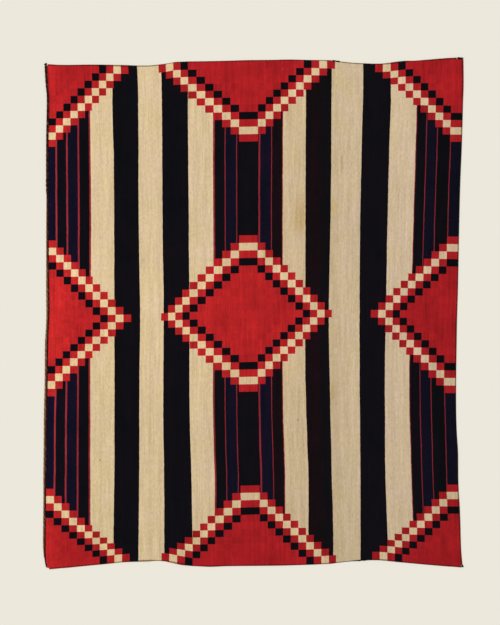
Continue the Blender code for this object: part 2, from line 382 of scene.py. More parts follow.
def lay_map(mesh, name, across, along):
    """A map from one pair of numbers for each point of the mesh."""
    loops = np.empty(len(mesh.loops), int)
    mesh.loops.foreach_get("vertex_index", loops)
    layer = mesh.uv_layers.new(name=name)
    layer.uv.foreach_set("vector", np.stack([across, along], 1)[loops].ravel())


def on_both_faces(values):
    return np.concatenate([values.ravel(), values[~edge_mask]])


loom_across = on_both_faces(np.repeat(columns[:, None], len(loom_rows), 1)) * MM
loom_along = on_both_faces(np.repeat(loom_rows[None, :], len(columns), 0)) * BLOCK * MM
lay_map(sheet_mesh, LOOM_MAP, loom_across, loom_along)
flat_x, flat_y = on_both_faces(x), on_both_faces(y)
lay_map(sheet_mesh, PLAN_MAP, (flat_x - x.min()) / np.ptp(x), (flat_y - y.min()) / np.ptp(y))
print("maps", [layer.name for layer in sheet_mesh.uv_layers])

# %% [markdown]
# ## Tools for drawing with nodes
#
# The pattern is all arithmetic on the loom map, so we need a short way to write sums with nodes. Each
# helper adds one node and hands back its result. A group is made once, with named inputs and outputs,
# and is then placed in each material that needs it.

# %% Sums, noise and groups


def sum_node(tree, operation, *values):
    """One Math node. Each value is a number or a socket."""
    node = add_node(tree, "Math", dict(enumerate(values)), operation=operation)
    return node.outputs[0]


def noise(tree, vector, scale, detail=2.0):
    """Soft noise from 0 to 1 that is even over the surface."""
    inputs = {"Vector": vector, "Scale": scale, "Detail": detail}
    return add_node(tree, "TexNoise", inputs, noise_dimensions="3D").outputs["Fac"]


def stretched(tree, vector, across, along, shift=0.0):
    """The vector with its two directions scaled apart, so that noise on it turns into streaks."""
    node = add_node(tree, "Mapping", {"Vector": vector, "Scale": (across, along, 1.0)})
    node.inputs["Location"].default_value = (shift, shift, shift)
    return node.outputs["Vector"]


def spread(tree, value, low, high):
    """A value from 0 to 1 moved to the range from low to high."""
    inputs = {"Value": value, "To Min": low, "To Max": high}
    return add_node(tree, "MapRange", inputs).outputs["Result"]


def colour_mix(tree, blend, share, first, second):
    """Two colours blended. RGBA inputs 6 and 7 are the colours of a Mix node."""
    node = add_node(tree, "Mix", {0: share, 6: first, 7: second}, data_type="RGBA", blend_type=blend)
    return node.outputs[2]


def new_group(name, inputs, outputs):
    """An empty node group with named sockets. Returns its tree, its input node and its output node."""
    tree = bpy.data.node_groups.new(name, "ShaderNodeTree")
    for kind, sockets in (("INPUT", inputs), ("OUTPUT", outputs)):
        for socket_name, socket_type in sockets:
            tree.interface.new_socket(socket_name, in_out=kind, socket_type="NodeSocket" + socket_type)
    return tree, tree.nodes.new("NodeGroupInput").outputs, tree.nodes.new("NodeGroupOutput").inputs


def place_group(tree, group, **inputs):
    """A group placed in another tree, with its inputs set or linked by name."""
    node = tree.nodes.new("ShaderNodeGroup")
    node.node_tree = group
    for key, value in inputs.items():
        socket = node.inputs[key.replace("_", " ")]
        if isinstance(value, bpy.types.NodeSocket):
            tree.links.new(value, socket)
        else:
            socket.default_value = value
    return node.outputs


print("helpers are ready")

# %% [markdown]
# ## Steps from a core
#
# The spots are stepped diamonds. Each step is one block wide and one block high, ten steps from the
# widest place to the tip. The tips at the edge of the blanket are halves and quarters of the same
# figure. To draw one, count the steps between a point and the diamond's core, once across and once
# along, and add the two counts. The sum alone says which block the point is in.
#
# The group counts the steps on both sides of a core. It lets the steps near the core and near the tip
# differ in width, because the left half of the middle spots was woven a little coarser there.

# %% A group that counts steps
STEPS = 10
KNEE = 6
FAR = 4.0

step_group, given, result = new_group(
    "Steps from a core",
    (("Place", "Float"),)
    + tuple((f"{part} {side}", "Float") for side in ("Low", "High") for part in ("Core", "Knee", "Tip")),
    (("Steps", "Float"),),
)
counts = []
for side in ("Low", "High"):
    core, knee, tip = (given[f"{part} {side}"] for part in ("Core", "Knee", "Tip"))
    past_tip = sum_node(step_group, "MULTIPLY_ADD", sum_node(step_group, "SUBTRACT", tip, knee), FAR, knee)
    for start, end, most in ((core, knee, KNEE), (knee, past_tip, FAR * (STEPS - KNEE))):
        inputs = {"Value": given["Place"], "From Min": start, "From Max": end, "To Min": 0.0, "To Max": most}
        counts.append(add_node(step_group, "MapRange", inputs).outputs["Result"])
low_steps = sum_node(step_group, "ADD", counts[0], counts[1])
high_steps = sum_node(step_group, "ADD", counts[2], counts[3])
step_group.links.new(sum_node(step_group, "ADD", low_steps, high_steps), result["Steps"])
print("group", step_group.name, "has", len(step_group.nodes), "nodes")

# %% [markdown]
# ## Yarn that is not one colour
#
# Handspun wool takes dye unevenly, and a new batch never matches the last one. Along the weft the
# difference shows as long thin streaks, and within the yarn as short dark and light slubs. The group
# makes both from stretched noise, as one tint to multiply a colour with.

# %% A group for streaky yarn
streak_group, given, result = new_group(
    "Streaky yarn",
    (("Vector", "Vector"), ("Streaks", "Float"), ("Slubs", "Float")),
    (("Tint", "Float"),),
)
vector = given["Vector"]

# Noise for the streaks and the slubs. Columns: scale across, scale along, shift, reach, input it works with.
YARN_NOISES = (
    (60.0, 1.6, 0.0, 0.9, "Streaks"),
    (130.0, 8.0, 5.0, 1.2, "Streaks"),
    (420.0, 9.0, 3.0, 0.7, "Streaks"),
    (330.0, 110.0, 7.0, 1.0, "Slubs"),
    (160.0, 60.0, 9.0, 0.8, "Slubs"),
)
total = 1.0
for across_scale, along_scale, shift, reach, strength in YARN_NOISES:
    grain = noise(streak_group, stretched(streak_group, vector, across_scale, along_scale, shift), 1.0, 2.0)
    swing = spread(streak_group, grain, -reach, reach)
    total = sum_node(streak_group, "MULTIPLY_ADD", swing, given[strength], total)
streak_group.links.new(total, result["Tint"])
print("group", streak_group.name, "has", len(streak_group.nodes), "nodes")

# %% [markdown]
# ## Wefts over warps
#
# Between two ribs each weft dives under a warp, and its neighbour dives under the next one. So the
# face is a field of small oval beads in brick order, one rib long and about a millimetre wide. That
# is too fine for the mesh, so it is a height for the bump, with a little shade in the gaps.

# %% A group for the beads of the weave
WEFT_PITCH = 1.1

bead_group, given, result = new_group(
    "Wefts over warps",
    (("Vector", "Vector"), ("Weft Pitch", "Float"), ("Warp Pitch", "Float")),
    (("Height", "Float"), ("Rib", "Float")),
)
parts = add_node(bead_group, "SeparateXYZ", {0: given["Vector"]}).outputs
rib_place = sum_node(bead_group, "DIVIDE", parts["Y"], given["Warp Pitch"])
rib = sum_node(bead_group, "FLOOR", rib_place)
odd = sum_node(bead_group, "PINGPONG", rib, 1.0)
weft_place = sum_node(bead_group, "DIVIDE", parts["X"], given["Weft Pitch"])
shifted = sum_node(bead_group, "MULTIPLY_ADD", odd, 0.5, weft_place)
across_bead = sum_node(bead_group, "PINGPONG", shifted, 0.5)
along_bead = sum_node(bead_group, "PINGPONG", rib_place, 0.5)
rounded = []
for share in (across_bead, along_bead):
    rounded.append(sum_node(bead_group, "SINE", sum_node(bead_group, "MULTIPLY", share, math.pi)))
bead_group.links.new(sum_node(bead_group, "MULTIPLY", *rounded), result["Height"])
bead_group.links.new(odd, result["Rib"])
print("group", bead_group.name, "has", len(bead_group.nodes), "nodes")

# %% [markdown]
# ## The order of the stripes
#
# The stripes are one list of yarns and widths, read from the left edge to the right. A colour ramp
# with hard steps turns it into colour. One ramp takes at most 32 stops, so the list is cut in two at
# the black stripe in the middle.
#
# The dyes are cochineal red, indigo, a blue-black and a brown-black, and the undyed white of the
# fleece, aged to cream.

# %% Stripes from a list of yarns
CREAM = (0.818, 0.622, 0.375)
TAN_CREAM = (0.770, 0.577, 0.336)
GREY_CREAM = (0.773, 0.591, 0.354)
BLOCK_CREAM = (0.850, 0.625, 0.362)
RED = (0.515, 0.0155, 0.0185)
LINE_RED = (0.33, 0.026, 0.036)
BLACK = (0.0033, 0.0031, 0.0052)
BLOCK_BLACK = (0.0027, 0.0026, 0.0046)
NAVY = (0.0044, 0.0038, 0.0127)
BROWN = (0.0062, 0.0028, 0.0042)
BROWN_BLACK = (0.0036, 0.0033, 0.0047)

# Columns: yarn, width in mm
LEFT_STRIPES = (
    (NAVY, 25.4),
    (LINE_RED, 4.2),
    (BLACK, 32.7),
    (LINE_RED, 4.2),
    (NAVY, 34.1),
    (LINE_RED, 4.2),
    (BLACK, 35.8),
    (LINE_RED, 4.2),
    (CREAM, 79.3),
    (BLACK, 87.3),
    (CREAM, 81.4),
    (BLACK, 90.6),
    (CREAM, 85.6),
    (LINE_RED, 4.0),
    (BLACK, 34.9),
    (LINE_RED, 3.4),
    (NAVY, 35.7),
    (LINE_RED, 3.2),
    (BLACK, 74.8),
)
RIGHT_STRIPES = (
    (LINE_RED, 3.4),
    (NAVY, 37.4),
    (LINE_RED, 3.4),
    (BROWN, 34.3),
    (LINE_RED, 4.2),
    (TAN_CREAM, 78.7),
    (BROWN, 52.0),
    (BROWN_BLACK, 33.8),
    (GREY_CREAM, 101.8),
    (BLACK, 93.7),
    (CREAM, 88.5),
    (LINE_RED, 3.6),
    (BLACK, 32.7),
    (LINE_RED, 3.0),
    (NAVY, 33.0),
    (LINE_RED, 3.0),
    (BLACK, 43.0),
    (LINE_RED, 2.6),
    (NAVY, 37.5),
)


def hard_ramp(tree, fac, stops):
    """A colour ramp with hard steps. Each stop is a place from 0 to 1 and a colour."""
    node = add_node(tree, "ValToRGB", {"Fac": fac})
    ramp = node.color_ramp
    ramp.interpolation = "CONSTANT"
    while len(ramp.elements) < len(stops):
        ramp.elements.new(1.0)
    for element, (place, colour) in zip(ramp.elements, stops):
        element.position = place
        element.color = (*colour, 1.0)
    return node.outputs["Color"]


def stripe_ramp(tree, across, start, stripes):
    """Stripes laid side by side from a starting place on the loom."""
    width = sum(stripe[1] for stripe in stripes)
    share = sum_node(tree, "DIVIDE", sum_node(tree, "SUBTRACT", across, start * MM), width * MM)
    stops, place = [], 0.0
    for yarn, stripe in stripes:
        stops.append((place / width, yarn))
        place += stripe
    return hard_ramp(tree, share, stops), start + width


stripe_sum = sum(width for _, width in LEFT_STRIPES + RIGHT_STRIPES)
print(len(LEFT_STRIPES + RIGHT_STRIPES), "stripes measure", round(stripe_sum, 1), "mm together")

# %% [markdown]
# ## The nine spots
#
# Nine spots share three columns and three rows. A point belongs to the column and the row that are
# nearest, so the fewest steps across and the fewest steps along give its block at once. Outside the
# diamond the stripes show. From the rim inwards the blocks are red, white, red and black, and the
# rest is the red field.

# %% Where the spots lie on the loom
# Columns: core, knee and tip on the low side, then core, knee and tip on the high side, in mm
SPOT_COLUMNS = (
    (-900.0, -1000.0, -1100.0, -680.5, -527.6, -425.6),
    (-49.2, -222.0, -322.4, 15.4, 171.9, 276.2),
    (669.5, 513.0, 408.7, 900.0, 1000.0, 1100.0),
)
# The same for the rows, in blocks
SPOT_ROWS = (
    (-40.0, -46.0, -50.0, -33.5, -27.5, -23.5),
    (-0.5, -6.5, -10.5, 0.5, 6.5, 10.5),
    (33.5, 27.5, 23.5, 40.0, 46.0, 50.0),
)
BLOCK_COLOURS = (RED, BLOCK_CREAM, RED, BLOCK_BLACK, RED)
BLOCK_STOPS = 8


def fewest_steps(tree, place, spots, unit):
    """Whole steps from a place to the nearest core in the table."""
    counts = []
    for core_low, knee_low, tip_low, core_high, knee_high, tip_high in spots:
        sizes = {
            "Core_Low": core_low * unit,
            "Knee_Low": knee_low * unit,
            "Tip_Low": tip_low * unit,
            "Core_High": core_high * unit,
            "Knee_High": knee_high * unit,
            "Tip_High": tip_high * unit,
        }
        counts.append(place_group(tree, step_group, Place=place, **sizes)["Steps"])
    nearest = sum_node(tree, "MINIMUM", sum_node(tree, "MINIMUM", counts[0], counts[1]), counts[2])
    return sum_node(tree, "CEIL", nearest)


print(len(SPOT_COLUMNS) * len(SPOT_ROWS), "spots")

# %% [markdown]
# ## Age and use
#
# A blanket this old has a history. There is a broad ochre stain in one white stripe, small rust and
# grease marks, and pale worn places. Each is a soft oval at its place on the cloth. The red field is
# deepest towards the lower right, partly from another batch of dye and partly as painted shade of a
# light that falls off there; the white is darker there too, as painted shade.

# %% Soft ovals for marks
# Columns: x, y, half width, half height, colour, strength
MARKS = (
    (160.0, 335.0, 30.0, 88.0, (0.90, 0.83, 0.66), 0.75),
    (172.0, 330.0, 12.0, 70.0, (0.93, 0.86, 0.74), 0.5),
    (276.0, 368.0, 11.0, 30.0, (1.08, 0.98, 0.74), 0.7),
    (286.0, 256.0, 13.0, 22.0, (0.88, 0.80, 0.68), 0.5),
    (275.0, -267.0, 8.0, 38.0, (0.93, 0.82, 0.50), 0.6),
    (302.0, 517.0, 5.0, 45.0, (0.72, 0.70, 0.68), 0.6),
    (-528.7, -498.0, 3.4, 3.4, (0.35, 0.3, 0.25), 0.8),
    (150.9, -370.0, 3.2, 4.0, (0.4, 0.35, 0.3), 0.8),
    (-180.3, -222.0, 8.0, 11.0, (1.10, 1.14, 1.2), 0.9),
    (285.5, -129.0, 9.0, 13.0, (1.10, 1.14, 1.2), 0.9),
    (-194.0, 216.0, 8.0, 10.0, (1.08, 1.12, 1.18), 0.8),
    (340.7, -726.0, 3.4, 3.4, (1.12, 1.15, 1.2), 0.9),
    (-700.0, 395.0, 2.6, 6.0, (4.0, 5.0, 4.0), 0.8),
    (100.2, 850.0, 4.0, 7.0, (1.2, 3.0, 2.6), 0.7),
)

mark_group, given, result = new_group(
    "Soft oval",
    (("Vector", "Vector"), ("Centre", "Vector"), ("Size", "Vector")),
    (("Mask", "Float"),),
)
offset = add_node(mark_group, "VectorMath", {0: given["Vector"], 1: given["Centre"]}, operation="SUBTRACT")
scaled = add_node(mark_group, "VectorMath", {0: offset.outputs[0], 1: given["Size"]}, operation="DIVIDE")
ragged = noise(mark_group, given["Vector"], 60.0, 4.0)
reach = add_node(mark_group, "VectorMath", {0: scaled.outputs[0]}, operation="LENGTH").outputs["Value"]
reach = sum_node(mark_group, "ADD", reach, spread(mark_group, ragged, -0.45, 0.45))
fade = {"Value": reach, "From Min": 1.15, "From Max": 0.35}
fade_node = add_node(mark_group, "MapRange", fade, interpolation_type="SMOOTHSTEP")
mark_group.links.new(fade_node.outputs["Result"], result["Mask"])
print(len(MARKS), "marks of age")

# %% [markdown]
# ## The woven pattern, all together
#
# One group turns a place on the loom into the colour of the cloth. Its steps follow the weaver's. The
# place is first shaken a little, because no weft lies dead straight. Along the rows it snaps to whole
# ribs: two colours can only meet between two warps. Then come the stripes, the spots over them, the
# streaks of the yarn, and the marks of age. The side cords will use the same group, since the wefts
# turn round them at the edge.

# %% Draw the pattern
WOBBLE = 1.5
QUICK_WOBBLE = 0.6 * WOBBLE
TOOTH = 0.35
BLOCK_UNEVEN = 0.07

pattern_group, given, result = new_group(
    "Woven pattern",
    (("Vector", "Vector"),),
    (("Color", "Color"), ("Height", "Float")),
)
loom_place = given["Vector"]
rib_pitch = BLOCK / WARPS_IN_BLOCK * MM
pitches = {"Weft_Pitch": WEFT_PITCH * MM, "Warp_Pitch": rib_pitch}
beads = place_group(pattern_group, bead_group, Vector=loom_place, **pitches)
parts = add_node(pattern_group, "SeparateXYZ", {0: loom_place}).outputs
slow = noise(pattern_group, stretched(pattern_group, loom_place, 9.0, 7.0), 1.0, 2.0)
quick = noise(pattern_group, stretched(pattern_group, loom_place, 30.0, 60.0, 5.0), 1.0, 1.0)
slow_shake = spread(pattern_group, slow, -WOBBLE * MM, WOBBLE * MM)
quick_shake = spread(pattern_group, quick, -QUICK_WOBBLE * MM, QUICK_WOBBLE * MM)
shake = sum_node(pattern_group, "ADD", slow_shake, quick_shake)
tooth = sum_node(pattern_group, "MULTIPLY", beads["Rib"], TOOTH * MM)
across = sum_node(pattern_group, "ADD", sum_node(pattern_group, "ADD", parts["X"], shake), tooth)
along = sum_node(pattern_group, "ADD", sum_node(pattern_group, "SNAP", parts["Y"], rib_pitch), rib_pitch / 2)

left, middle = stripe_ramp(pattern_group, across, LOOM_LEFT, LEFT_STRIPES)
right, _ = stripe_ramp(pattern_group, across, middle, RIGHT_STRIPES)
past_middle = sum_node(pattern_group, "GREATER_THAN", across, middle * MM)
stripes = colour_mix(pattern_group, "MIX", past_middle, left, right)

steps_across = fewest_steps(pattern_group, across, SPOT_COLUMNS, MM)
steps_along = fewest_steps(pattern_group, along, SPOT_ROWS, BLOCK * MM)
steps = sum_node(pattern_group, "ADD", steps_across, steps_along)
depth = sum_node(pattern_group, "SUBTRACT", STEPS, steps)
block_place = sum_node(pattern_group, "DIVIDE", sum_node(pattern_group, "ADD", depth, 0.5), BLOCK_STOPS)
block_stops = [(k / BLOCK_STOPS, colour) for k, colour in enumerate(BLOCK_COLOURS)]
blocks = hard_ramp(pattern_group, block_place, block_stops)
in_spot = sum_node(pattern_group, "GREATER_THAN", depth, -0.5)
drawn = colour_mix(pattern_group, "MIX", in_spot, stripes, blocks)
print("the pattern is drawn")

# %% Tint it with streaks, painted shade and light, batches of dye and marks
YARN_STREAKS = 0.16
RED_STREAKS = 0.10
YARN_SLUBS = 0.2
NO_CHANGE = (1.0, 1.0, 1.0)

# Tints of the white, the red and the dark wool towards the lower right, painted shade with another batch of
# dye in the red, and where a cloud is pale or deep
PAINTED_SHADE_AND_DYE = ((0.74, 0.75, 0.85), (0.64, 0.62, 0.70), (0.85, 0.96, 0.96))
PAINTED_SHADE_AND_DYE_FROM, PAINTED_SHADE_AND_DYE_TO = -0.95, 0.95
PALE_CLOUD = ((0.978, 0.984, 0.91), (0.88, 0.86, 0.90), (0.80, 0.95, 0.90))
DEEP_CLOUD = ((1.022, 1.016, 1.09), (1.12, 1.14, 1.10), (1.60, 1.03, 1.15))
YELLOWED = ((1.0, 1.0, 0.91), NO_CHANGE, NO_CHANGE)
YELLOWED_FROM, YELLOWED_TO = 0.1, -0.8

# Soft areas that are lighter or darker. Over the left edge and the middle they are painted light, as
# from a lamp at the left, with another batch of dye in the red; at the right edge the dark yarn is darker.
# Columns: x, y, half width, half height, then the three tints.
PAINTED_LIGHT_AND_DYE_AREAS = (
    (-250.0, -10.0, 720.0, 330.0, (1.06, 1.045, 1.0), (1.18, 1.30, 1.15), (1.2, 1.1, 1.15)),
    (-720.0, 0.0, 120.0, 1500.0, (1.18, 1.18, 1.2), (1.22, 1.36, 1.18), (1.25, 1.1, 1.5)),
    (725.0, 0.0, 190.0, 1500.0, NO_CHANGE, NO_CHANGE, (0.60, 0.80, 0.72)),
    (266.0, -60.0, 46.0, 1500.0, (0.93, 0.92, 0.89), NO_CHANGE, NO_CHANGE),
)


def share_between(low, high, value):
    """How far a value is from low to high, from 0 to 1."""
    inputs = {"Value": value, "From Min": low, "From Max": high}
    return add_node(pattern_group, "MapRange", inputs).outputs["Result"]


drawn_parts = add_node(pattern_group, "SeparateColor", {0: drawn}).outputs
is_dark = sum_node(pattern_group, "LESS_THAN", drawn_parts[0], 0.1)
is_red = sum_node(pattern_group, "LESS_THAN", drawn_parts[1], 0.1)


def by_yarn(white, red, dark):
    """The tint of the yarn that is drawn here: white, red or dark."""
    coloured = colour_mix(pattern_group, "MIX", is_dark, (*red, 1.0), (*dark, 1.0))
    return colour_mix(pattern_group, "MIX", is_red, (*white, 1.0), coloured)


block_name = add_node(pattern_group, "CombineXYZ", {0: steps_across, 1: steps_along, 2: 1.7})
luck_inputs = {"Vector": block_name.outputs[0]}
block_luck = add_node(pattern_group, "TexWhiteNoise", luck_inputs, noise_dimensions="3D")
block_change = spread(pattern_group, block_luck.outputs["Value"], -BLOCK_UNEVEN, BLOCK_UNEVEN)
block_tint = sum_node(pattern_group, "MULTIPLY_ADD", block_change, in_spot, 1.0)
streak_strength = sum_node(pattern_group, "MULTIPLY_ADD", is_red, RED_STREAKS, YARN_STREAKS)
streaks = place_group(
    pattern_group, streak_group, Vector=loom_place, Streaks=streak_strength, Slubs=YARN_SLUBS
)["Tint"]
shade = spread(pattern_group, beads["Height"], 0.86, 1.04)
tint = sum_node(pattern_group, "MULTIPLY", sum_node(pattern_group, "MULTIPLY", streaks, block_tint), shade)
tint_colour = add_node(pattern_group, "CombineColor", {0: tint, 1: tint, 2: tint}).outputs[0]
tinted = colour_mix(pattern_group, "MULTIPLY", 1.0, drawn, tint_colour)

# Painted shade: the cloth darkens towards the lower right, as if the light fell off there; in the red this
# also stands for another batch of dye.
diagonal = sum_node(pattern_group, "MULTIPLY_ADD", parts["Y"], -0.5, parts["X"])
tinted = colour_mix(
    pattern_group, "MULTIPLY", share_between(PAINTED_SHADE_AND_DYE_FROM, PAINTED_SHADE_AND_DYE_TO, diagonal), tinted, by_yarn(*PAINTED_SHADE_AND_DYE)
)
yellowing = share_between(YELLOWED_FROM, YELLOWED_TO, parts["Y"])
tinted = colour_mix(pattern_group, "MULTIPLY", yellowing, tinted, by_yarn(*YELLOWED))

cloud = noise(pattern_group, stretched(pattern_group, loom_place, 16.0, 12.0, 11.0), 1.0, 3.0)
cloud = sum_node(pattern_group, "MULTIPLY_ADD", diagonal, 0.1, cloud)
clouded = colour_mix(
    pattern_group, "MIX", share_between(0.3, 0.7, cloud), by_yarn(*PALE_CLOUD), by_yarn(*DEEP_CLOUD)
)
tinted = colour_mix(pattern_group, "MULTIPLY", 1.0, tinted, clouded)


def oval_mask(x, y, half_width, half_height):
    size = (half_width * MM, half_height * MM, 1.0)
    oval = place_group(pattern_group, mark_group, Vector=loom_place, Centre=(x * MM, y * MM, 0.0), Size=size)
    return oval["Mask"]


# Painted light and shade with batches of dye: each soft area tints the yarn lighter or darker.
for area_x, area_y, half_width, half_height, *tints in PAINTED_LIGHT_AND_DYE_AREAS:
    mask = oval_mask(area_x, area_y, half_width, half_height)
    tinted = colour_mix(pattern_group, "MULTIPLY", mask, tinted, by_yarn(*tints))
for mark_x, mark_y, half_width, half_height, mark_colour, strength in MARKS:
    share = sum_node(pattern_group, "MULTIPLY", oval_mask(mark_x, mark_y, half_width, half_height), strength)
    tinted = colour_mix(pattern_group, "MULTIPLY", share, tinted, (*mark_colour, 1.0))
pattern_group.links.new(tinted, result["Color"])

fibre = noise(pattern_group, stretched(pattern_group, loom_place, 900.0, 500.0, 2.0), 1.0, 3.0)
height = sum_node(pattern_group, "MULTIPLY_ADD", fibre, 0.35, beads["Height"])
pattern_group.links.new(height, result["Height"])
print("the pattern has", len(pattern_group.nodes), "nodes")

# %% [markdown]
# ## The finish of the cloth
#
# Wool scatters light deep in its fibres and hardly shines, so the roughness is high and the specular
# level low. A thin sheen stands for the short fibres that stand up off the yarn and catch the light
# from the side.

# %% Dress the sheet
WOOL_SHINE = 0.05
WOOL_SHEEN = 0.035
WEAVE_BUMP = 0.25


def loom_vector(tree):
    return add_node(tree, "UVMap", uv_map=LOOM_MAP).outputs["UV"]


cloth_finish, tree, shader = new_material(
    "tapestry_wool",
    Specular_IOR_Level=WOOL_SHINE,
    Sheen_Weight=WOOL_SHEEN,
    Sheen_Roughness=0.5,
)
woven = place_group(tree, pattern_group, Vector=loom_vector(tree))
tree.links.new(woven["Color"], shader.inputs["Base Color"])
tree.links.new(spread(tree, woven["Height"], 1.0, 0.86), shader.inputs["Roughness"])
bump = add_node(tree, "Bump", {"Height": woven["Height"], "Distance": WEAVE_BUMP * MM, "Strength": 0.8})
tree.links.new(bump.outputs["Normal"], shader.inputs["Normal"])
sheet_mesh.materials.append(cloth_finish)
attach(woven_sheet, "root")
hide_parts("blanket_cloth")
print("the sheet is dressed")

# %% [markdown]
# ## How a cord is twisted
#
# The cords that bind the four edges are two plies of wool, twisted together. Cut across, such a cord
# is two touching circles, and the pair turns as the cord goes on. So each bump on the edge is one
# ply's crest, and between the plies runs a groove that winds round the cord. A tube made of rings can
# follow that: each ring is drawn in at the groove, and turned a little more than the ring before.
#
# Each tube has a strand map. Its first number goes round with the plies, and its second runs along the
# cord in metres, so that fibres can follow the twist. A second map cuts the tube into short strips.

# %% Rings into a closed tube
GROOVE = 0.16
FLATTENED = 0.88
STRAND_MAP = "strand"
ROUNDED_END = 1.1

# Room left free on the plan map at the ends and the sides of a strip, and at a tube's two poles
END_ROOM, SIDE_ROOM, POLE_ROOM = 0.01, 0.1, 0.004


def ply_reach(angle, phase, groove):
    """How far the yarn reaches from the cord's middle, as a share of its radius."""
    return 1 - groove + groove * np.abs(np.cos(angle - phase))


def lay_corner_map(mesh, name, across, along):
    """A map from one pair of numbers for each face corner of the mesh."""
    layer = mesh.uv_layers.new(name=name)
    layer.uv.foreach_set("vector", np.stack([across, along], 1).ravel())


def make_tube(name, rings, maps, strips):
    """A closed tube through rings of points, in millimetres.

    maps gives two arrays for each map's name. They have one column more than a ring has sides, so that
    a map can meet itself at the seam. strips is the number of strips that the plan map is cut into.
    """
    count, sides = rings.shape[:2]
    i, side = (grid.ravel() for grid in np.meshgrid(np.arange(count - 1), np.arange(sides), indexing="ij"))
    ring_at = np.stack([i, i, i + 1, i + 1], 1)
    side_at = np.stack([side, side + 1, side + 1, side], 1)
    quads_of_tube = (ring_at * sides + side_at % sides).tolist()
    round_once = np.arange(sides)
    end_faces = []
    for end, pole in ((0, count * sides), (count - 1, count * sides + 1)):
        first, second = end * sides + round_once, end * sides + (round_once + 1) % sides
        end_faces += np.stack([first, second, np.full(sides, pole)], 1).tolist()
    points = np.concatenate([rings.reshape(-1, 3), [rings[0].mean(0), rings[-1].mean(0)]])
    mesh = bpy.data.meshes.new(name)
    mesh.from_pydata((points * MM).tolist(), [], quads_of_tube + end_faces)

    def at_corners(values):
        ends = [
            np.stack([values[end, :-1], values[end, 1:], (values[end, :-1] + values[end, 1:]) / 2], 1).ravel()
            for end in (0, -1)
        ]
        return np.concatenate([values[ring_at, side_at].ravel(), *ends])

    for map_name, (across_map, along_map) in maps.items():
        lay_corner_map(mesh, map_name, at_corners(across_map), at_corners(along_map))
    strip = (ring_at[:, :1] * strips // count).repeat(4, 1)
    across_strip = ((ring_at * strips / count - strip) * (1 - 2 * END_ROOM) + END_ROOM).ravel()
    side_share = 1 - 2 * SIDE_ROOM
    up_strips = ((strip + SIDE_ROOM + side_share * side_at / sides) / strips).ravel()
    turn = np.stack([round_once, round_once + 1, round_once + 0.5], 1).ravel() / sides
    up_first = SIDE_ROOM + side_share * turn
    tip = np.tile([POLE_ROOM, POLE_ROOM, 0.0], sides)
    lay_corner_map(
        mesh,
        PLAN_MAP,
        np.concatenate([across_strip, tip, 1 - tip]),
        np.concatenate([up_strips, up_first / strips, (strips - 1 + up_first) / strips]),
    )
    bm = bmesh.new()
    bm.from_mesh(mesh)
    bmesh.ops.recalc_face_normals(bm, faces=bm.faces)
    bm.to_mesh(mesh)
    bm.free()
    mesh.shade_smooth()
    tube = bpy.data.objects.new(name, mesh)
    bpy.context.scene.collection.objects.link(tube)
    return tube


print("a ply's groove reaches", round(float(ply_reach(math.pi / 2, 0.0, GROOVE)), 2), "of its radius")

# %% [markdown]
# ## The edge cords
#
# A thick dark cord binds the left edge, and a golden one lies outside it for most of the way. Two
# small beads of yarn show where the golden one begins. A thin red-brown cord binds the right edge.
# Thin cords run along the top and the bottom too, with two nubs below and one loose end above. All of
# them rest on the floor and follow the outermost points of the sheet.

# %% Sizes of the edge cords
# The cords lie over the rim of the cloth, and the golden cord's crests lie in the dark one's grooves. So
# each middle is a little nearer than it would be side by side. Both are shares of the radii.
OVER_RIM = 0.8
INTERLOCKED = 0.955

# Each cord runs from the first place of its table to the last. Columns: place along the edge, radius
DARK_RADIUS = ((-878, 2.2), (-850, 2.5), (250, 2.6), (405, 2.5), (432, 3.8), (740, 4.0), (854, 4.7))
GOLDEN_RADIUS = (
    (-845, 1.0), (-790, 2.3), (-640, 2.2), (-560, 2.6), (-430, 2.5), (-343, 3.0), (-230, 2.6), (-110, 3.1),
    (-39, 2.4), (30, 3.0), (110, 2.6), (200, 2.1), (300, 1.7), (428, 0.9),
)
RIGHT_RADIUS = (
    (-871, 2.5), (-840, 1.7), (-680, 2.4), (-600, 1.7), (-481, 2.3), (-410, 1.2), (-200, 1.8), (-80, 2.2),
    (20, 1.7), (600, 1.8), (733, 1.7), (800, 2.2), (877, 2.3),
)
TOP_LEFT_RADIUS = (
    (-710, 2.0), (-640, 1.7), (-453, 2.4), (-400, 1.8), (-320, 1.5), (-287, 1.1), (-255, 1.4), (-140, 1.3),
    (-70, 1.5), (-18, 1.8), (65, 1.4), (127, 1.7), (200, 1.1), (251, 1.5), (270, 1.5),
)
TOP_END_RADIUS = ((270.6, 1.6), (276, 2.4), (285, 2.1), (295, 2.3), (301, 1.3))
TOP_RIGHT_RADIUS = (
    (301.4, 1.5), (375, 1.6), (440, 1.7), (485, 2.6), (520, 2.3), (561, 1.1), (600, 1.9), (630, 2.3),
    (660, 2.1), (702, 2.6),
)
BOTTOM_RADIUS = (
    (-705, 2.5), (-670, 1.9), (-639, 2.0), (-577, 1.7), (-500, 1.6), (-453, 1.4), (-391, 2.4), (-360, 2.5),
    (-331, 1.2), (-308, 1.7), (-280, 2.4), (-246, 2.8), (-215, 1.5), (-184, 1.5), (-150, 2.3), (-90, 1.5),
    (65, 1.8), (180, 1.5), (230, 1.5), (272, 1.7), (295, 1.1), (336, 1.1), (356, 1.7), (468, 2.1), (560, 1.7),
    (690, 1.9), (718, 2.2),
)

# Columns: place along the edge, how far the bead stands out
LEFT_BEADS = ((441, 1.1), (455, 1.1))
BOTTOM_BEADS = ((365, 1.0), (383, 0.9))
BEAD_REACH = 5.0

# The side cords read their colours a little inside the first and last rows of blocks
INSIDE = 0.999

# Each edge as the sheet has it: a line of places along and distances across
EDGE_LINES = {
    "left": (y[0], x[0]),
    "right": (y[-1], x[-1]),
    "bottom": (x[:, 0], y[:, 0]),
    "top": (x[:, -1], y[:, -1]),
}

